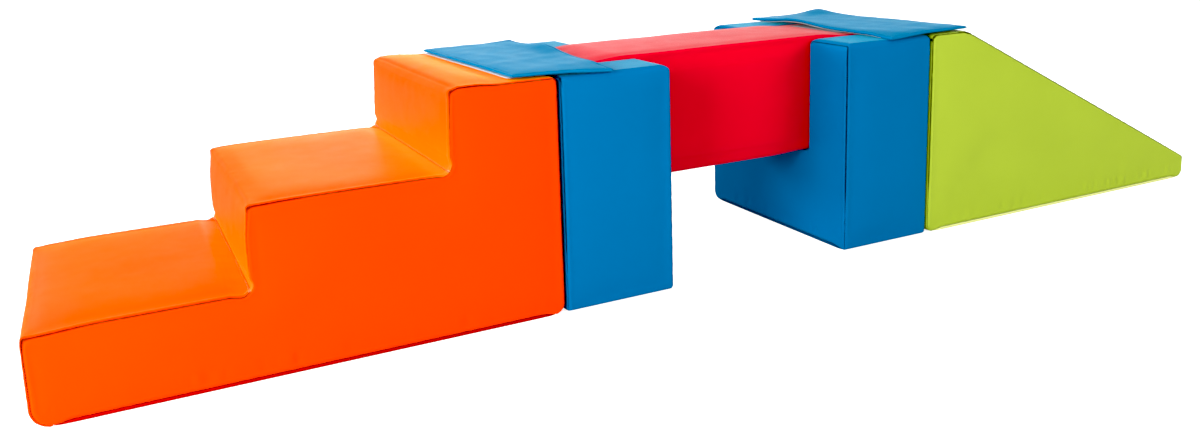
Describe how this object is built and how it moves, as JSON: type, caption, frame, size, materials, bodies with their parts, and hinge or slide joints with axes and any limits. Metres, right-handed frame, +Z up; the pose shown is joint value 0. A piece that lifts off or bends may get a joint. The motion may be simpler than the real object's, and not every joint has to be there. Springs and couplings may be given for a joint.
{
  "type": "soft play foam climber",
  "caption": "Low toddler climber in padded foam: stairs, two notched blocks, a beam laid across their notches to crawl under, a ramp and joining flaps.",
  "frame": {"origin": "on the floor under the middle of the row: halfway between the stairs' first riser and the ramp's toe, and halfway between the front and the rear faces", "axes": "+X runs along the row from the stairs to the ramp, +Y from the front faces to the rear faces, +Z up"},
  "size_m": [2.708, 0.49, 0.4612],
  "materials": {
    "orange_cover": "smooth coated vinyl, satin, sewn",
    "blue_cover": "smooth coated vinyl, satin, sewn",
    "red_cover": "smooth coated vinyl, satin, sewn",
    "green_cover": "smooth coated vinyl, satin, sewn",
    "blue_flap": "smooth coated vinyl over thin padding",
    "foam": "open-cell polyurethane foam",
    "hook_and_loop": "woven hook-and-loop tape",
    "zip_tape": "woven tape with a moulded coil",
    "zip_slider": "cast, without a pull tab"
  },
  "bodies": {
    "left_block": {"left_block_foam_base": "foam", "left_block_foam_front_post": "foam", "left_block_foam_rear_post": "foam", "left_block_left_panel": "blue_cover", "left_block_right_panel": "blue_cover", "left_block_wrap": "blue_cover", "left_block_base_panel": "blue_cover", "left_block_zip": "zip_tape"},
    "left_block_zip_slider": {"left_block_zip_slider": "zip_slider"},
    "steps": {"steps_foam_lower": "foam", "steps_foam_middle": "foam", "steps_foam_upper": "foam", "steps_front_panel": "orange_cover", "steps_rear_panel": "orange_cover", "steps_wrap_lower": "orange_cover", "steps_wrap_middle": "orange_cover", "steps_wrap_upper": "orange_cover", "steps_end_panel": "orange_cover", "steps_base_panel": "orange_cover", "steps_zip": "zip_tape", "steps_loop_tape": "hook_and_loop"},
    "steps_zip_slider": {"steps_zip_slider": "zip_slider"},
    "beam": {"beam_foam": "foam", "beam_wrap": "red_cover", "beam_left_cap": "red_cover", "beam_right_cap": "red_cover", "beam_zip": "zip_tape", "beam_left_loop_tape": "hook_and_loop", "beam_right_loop_tape": "hook_and_loop", "left_flap_inner_leaf": "blue_flap", "left_flap_inner_hook_tape": "hook_and_loop", "right_flap_inner_leaf": "blue_flap", "right_flap_inner_hook_tape": "hook_and_loop"},
    "beam_zip_slider": {"beam_zip_slider": "zip_slider"},
    "left_flap": {"left_flap_outer_leaf": "blue_flap", "left_flap_outer_hook_tape": "hook_and_loop"},
    "right_flap": {"right_flap_outer_leaf": "blue_flap", "right_flap_outer_hook_tape": "hook_and_loop"},
    "right_block": {"right_block_foam_base": "foam", "right_block_foam_front_post": "foam", "right_block_foam_rear_post": "foam", "right_block_left_panel": "blue_cover", "right_block_right_panel": "blue_cover", "right_block_wrap": "blue_cover", "right_block_base_panel": "blue_cover", "right_block_zip": "zip_tape"},
    "right_block_zip_slider": {"right_block_zip_slider": "zip_slider"},
    "ramp": {"ramp_foam": "foam", "ramp_front_panel": "green_cover", "ramp_rear_panel": "green_cover", "ramp_top_wrap": "green_cover", "ramp_end_panel": "green_cover", "ramp_base_panel": "green_cover", "ramp_zip": "zip_tape", "ramp_loop_tape": "hook_and_loop"},
    "ramp_zip_slider": {"ramp_zip_slider": "zip_slider"}
  },
  "joints": [
    {"name": "beam_lift_out", "type": "slide", "parent": "left_block", "child": "beam", "axis": [0, 0, 1], "range_m": [0, 0.3]},
    {"name": "left_flap_fold", "type": "hinge", "parent": "beam", "child": "left_flap", "pos_m": [-0.452, 0, 0.4622], "axis": [0, 1, 0], "range_deg": [0, 170]},
    {"name": "right_flap_fold", "type": "hinge", "parent": "beam", "child": "right_flap", "pos_m": [0.452, 0, 0.4622], "axis": [0, -1, 0], "range_deg": [0, 170]},
    {"name": "steps_pull_away", "type": "slide", "parent": "left_block", "child": "steps", "axis": [-1, 0, 0], "range_m": [0, 0.3]},
    {"name": "right_block_pull_away", "type": "slide", "parent": "left_block", "child": "right_block", "axis": [1, 0, 0], "range_m": [0, 0.235]},
    {"name": "ramp_pull_away", "type": "slide", "parent": "right_block", "child": "ramp", "axis": [1, 0, 0], "range_m": [0, 0.3]},
    {"name": "steps_zip_run", "type": "slide", "parent": "steps", "child": "steps_zip_slider", "axis": [1, 0, 0], "range_m": [0, 0.586]},
    {"name": "left_block_zip_run", "type": "slide", "parent": "left_block", "child": "left_block_zip_slider", "axis": [0, 1, 0], "range_m": [0, 0.326]},
    {"name": "right_block_zip_run", "type": "slide", "parent": "right_block", "child": "right_block_zip_slider", "axis": [0, 1, 0], "range_m": [0, 0.326]},
    {"name": "beam_zip_run", "type": "slide", "parent": "beam", "child": "beam_zip_slider", "axis": [1, 0, 0], "range_m": [0, 0.586]},
    {"name": "ramp_zip_run", "type": "slide", "parent": "ramp", "child": "ramp_zip_slider", "axis": [1, 0, 0], "range_m": [0, 0.586]}
  ]
}
